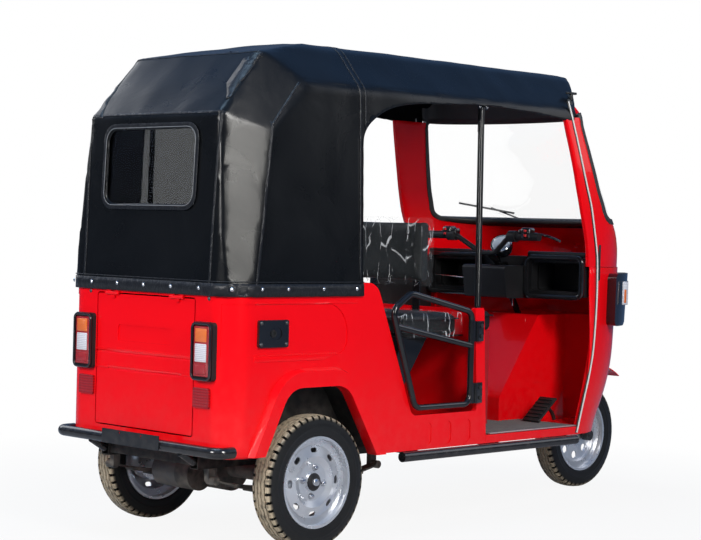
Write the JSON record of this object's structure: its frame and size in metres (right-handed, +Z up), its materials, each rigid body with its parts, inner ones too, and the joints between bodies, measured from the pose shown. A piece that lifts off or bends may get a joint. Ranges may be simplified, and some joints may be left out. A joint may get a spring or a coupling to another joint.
{
  "type": "electric auto rickshaw",
  "caption": "Three-wheeled electric auto rickshaw with a soft canopy, open sides, handlebar steering, bench seats, side gate and drop tailgate panel.",
  "frame": {"origin": "on the ground, in the middle of the vehicle's length and width", "axes": "-Y is the front and +Y the rear, +X is the left side and -X the right side, +Z is up"},
  "size_m": [0.9852, 2.839, 1.8391],
  "materials": {
    "red_paint": "gloss",
    "dark_red_paint": "satin",
    "black_steel": "gloss",
    "black_plastic": "satin",
    "grey_plastic": "matt",
    "motor_casing": "cast",
    "seat_vinyl": "semi-gloss vinyl",
    "canopy_vinyl": "coated cloth",
    "wheel_steel": "painted silver",
    "tyre_rubber": "dusty",
    "lamp_plastic": "gloss",
    "spring_steel": "painted",
    "axle_iron": "cast",
    "clear_sheet": "clear flexible sheet",
    "reflector_red": "prismatic",
    "tail_lamp_red": "gloss",
    "screen_glass": "clear",
    "seal_rubber": "matt"
  },
  "bodies": {
    "body": {"backrest_straps": "black_steel", "canopy": "canopy_vinyl", "charging_port": "black_plastic", "chassis_frame": "black_steel", "column_console": "black_plastic", "dashboard": "grey_plastic", "drive_motor": "motor_casing", "driver_cushion": "seat_vinyl", "driver_seat_box": "dark_red_paint", "floor_pan": "red_paint", "foot_tubes": "black_steel", "front_apron": "red_paint", "gate_hinges": "black_steel", "headlamps": "lamp_plastic", "jump_seat_backrest": "seat_vinyl", "jump_seat_cushion": "seat_vinyl", "jump_seat_frame": "black_plastic", "leaf_springs": "spring_steel", "partition": "red_paint", "plate_bracket": "black_steel", "rear_axle": "axle_iron", "rear_bench_backrest": "seat_vinyl", "rear_bench_base": "black_plastic", "rear_bench_cushion": "seat_vinyl", "rear_bumper": "black_steel", "rear_panel": "red_paint", "rear_window": "clear_sheet", "reflectors": "reflector_red", "roof_frame": "black_steel", "rear_hoop": "black_steel", "side_panel_left": "red_paint", "side_panel_right": "red_paint", "tail_lamps": "tail_lamp_red", "wheel_wells": "black_plastic", "windscreen_frame": "red_paint", "windscreen_glass": "screen_glass", "windscreen_seal": "seal_rubber"},
    "tailgate": {"tailgate": "red_paint"},
    "side_gate": {"side_gate": "black_steel"},
    "steering": {"fork": "black_steel", "handlebar": "black_plastic", "front_mudguard": "red_paint"},
    "front_wheel": {"front_tyre": "tyre_rubber", "front_rim": "wheel_steel"},
    "rear_wheel_left": {"rear_left_tyre": "tyre_rubber", "rear_left_rim": "wheel_steel"},
    "rear_wheel_right": {"rear_right_tyre": "tyre_rubber", "rear_right_rim": "wheel_steel"}
  },
  "joints": [
    {"name": "steering_turn", "type": "hinge", "parent": "body", "child": "steering", "pos_m": [0, -1.1417, 0.2158], "axis": [0, 0.5592, 0.829], "range_deg": [-38, 38]},
    {"name": "front_wheel_spin", "type": "hinge", "parent": "steering", "child": "front_wheel", "pos_m": [0, -1.179, 0.241], "axis": [1, 0, 0], "continuous": true},
    {"name": "rear_wheel_left_spin", "type": "hinge", "parent": "body", "child": "rear_wheel_left", "pos_m": [0.437, 0.951, 0.241], "axis": [1, 0, 0], "continuous": true},
    {"name": "rear_wheel_right_spin", "type": "hinge", "parent": "body", "child": "rear_wheel_right", "pos_m": [-0.437, 0.951, 0.241], "axis": [1, 0, 0], "continuous": true},
    {"name": "tailgate_lift", "type": "hinge", "parent": "body", "child": "tailgate", "pos_m": [0, 1.369, 0.8915], "axis": [1, 0, 0], "range_deg": [0, 78]},
    {"name": "side_gate_swing", "type": "hinge", "parent": "body", "child": "side_gate", "pos_m": [-0.472, 0.083, 0.48], "axis": [0, 0, 1], "range_deg": [0, 100]}
  ]
}
